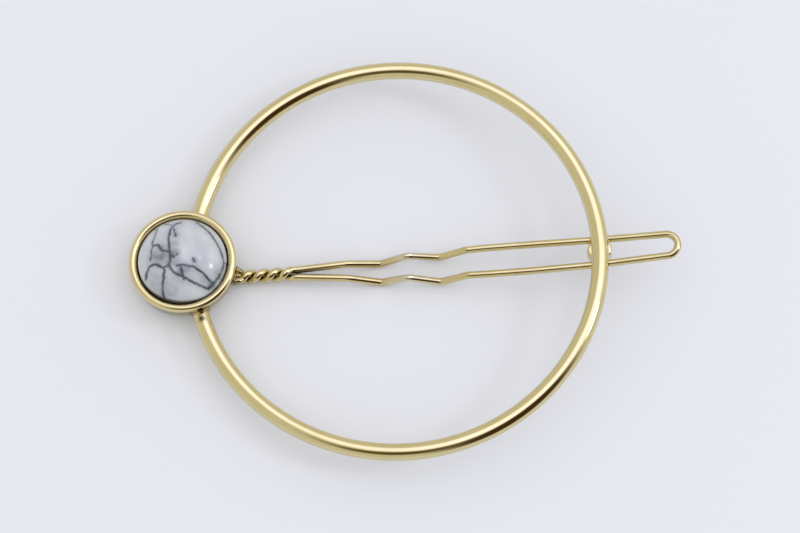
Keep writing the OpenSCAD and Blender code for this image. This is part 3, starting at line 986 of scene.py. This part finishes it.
def pale_board():
    """Board with a faint grain, whose tone is its own in what polished metal mirrors."""
    material, tree, shader = new_material("pale board")
    shade = tuple(c * FLOOR_SHADE_SHARE for c in FLOOR_TONE)
    board = ramped(tree, grain(tree, own_place(tree), FLOOR_GRAIN_SCALE), (0, shade),
                   (1, FLOOR_TONE))
    feed(shader.inputs["Base Color"],
         mixed(tree, mirrored_ray(tree), board, MIRRORED_FLOOR_TONE))
    feed(shader.inputs["Roughness"], 0.8)
    feed(shader.inputs["Specular IOR Level"], 0.1)
    return material


def make_floor():
    bm = bmesh.new()
    bmesh.ops.create_grid(bm, x_segments=1, y_segments=1, size=FLOOR_SIZE / 2)
    lean = min(math.atan2(foot.z - CRIMP_FOOT.z, CRIMP_FOOT.x - foot.x)
               for foot in (CUP_FOOT, TWIST_FOOT))
    place = Matrix.Translation(CRIMP_FOOT) @ Matrix.Rotation(lean, 4, "Y")
    bmesh.ops.transform(bm, matrix=place, verts=bm.verts)
    mesh = bpy.data.meshes.new("floor")
    bm.to_mesh(mesh)
    bm.free()
    add_object("floor", mesh, pale_board())


def make_lamp(name, azimuth, zenith, distance, wide, radiance):
    """A round softbox of the given radiance that looks at the hairpin."""
    light = bpy.data.lights.new(name, "AREA")
    light.shape = "DISK"
    light.size = wide
    light.energy = radiance * (math.pi * wide / 2) ** 2
    lamp = bpy.data.objects.new(name, light)
    bpy.context.scene.collection.objects.link(lamp)
    toward = direction(azimuth, zenith)
    lamp.matrix_world = (Matrix.Translation(toward * distance)
                         @ toward.to_track_quat("Z", "Y").to_matrix().to_4x4())
    lamp.visible_camera = False


def make_world():
    """A pale room: plain to the camera, its walls and ceiling toned for matt surfaces, and
    with its soft fields for polished metal."""
    world = bpy.data.worlds.new("pale room")
    bpy.context.scene.world = world
    world.use_nodes = True
    tree = world.node_tree
    toward = node(tree, "ShaderNodeTexCoord").outputs["Generated"]
    room = MIRRORED_ROOM_TONE
    for azimuth, zenith, whole, gone, tone in ROOM_FIELDS:
        facing = node(tree, "ShaderNodeVectorMath", {0: toward, 1: direction(azimuth, zenith)},
                      operation="DOT_PRODUCT")
        away = computed(tree, "ARCCOSINE", facing.outputs["Value"])
        share = ranged(tree, away, math.radians(gone), math.radians(whole))
        room = mixed(tree, share, room, tone)
    height = node(tree, "ShaderNodeSeparateXYZ", {0: toward}).outputs["Z"]
    lit = mixed(tree, mirrored_ray(tree), mixed(tree, height, WALL_TONE, CEILING_TONE), room)
    camera_ray = node(tree, "ShaderNodeLightPath").outputs["Is Camera Ray"]
    feed(tree.nodes["Background"].inputs["Color"], mixed(tree, camera_ray, lit, BACKDROP_TONE))


def make_camera():
    back = Vector((math.sin(CAMERA_AZIMUTH) * math.cos(CAMERA_ELEVATION),
                   -math.cos(CAMERA_AZIMUTH) * math.cos(CAMERA_ELEVATION),
                   math.sin(CAMERA_ELEVATION)))
    right = (-back).cross(Vector((0, 0, 1))).normalized()
    up = right.cross(-back)
    turn = Matrix((right, up, back)).transposed() @ Matrix.Rotation(-CAMERA_ROLL, 3, "Z")
    aim = RING_AT + turn @ Vector((CAMERA_AIM_RIGHT, CAMERA_AIM_UP, 0))
    data = bpy.data.cameras.new("camera")
    data.lens = CAMERA_LENS_MM
    data.clip_start = CAMERA_CLIP_START
    camera = bpy.data.objects.new("camera", data)
    bpy.context.scene.collection.objects.link(camera)
    camera.matrix_world = Matrix.Translation(aim + back * CAMERA_DISTANCE) @ turn.to_4x4()
    bpy.context.scene.camera = camera


make_ring()
make_cup()
make_stone()
make_glue()
pin_seats = make_pin()
solder_ring()
solder_pin(pin_seats)
make_keeper()
make_floor()
for lamp_values in LAMPS:
    make_lamp(*lamp_values)
make_world()
make_camera()
bpy.context.scene.view_settings.view_transform = "Standard"
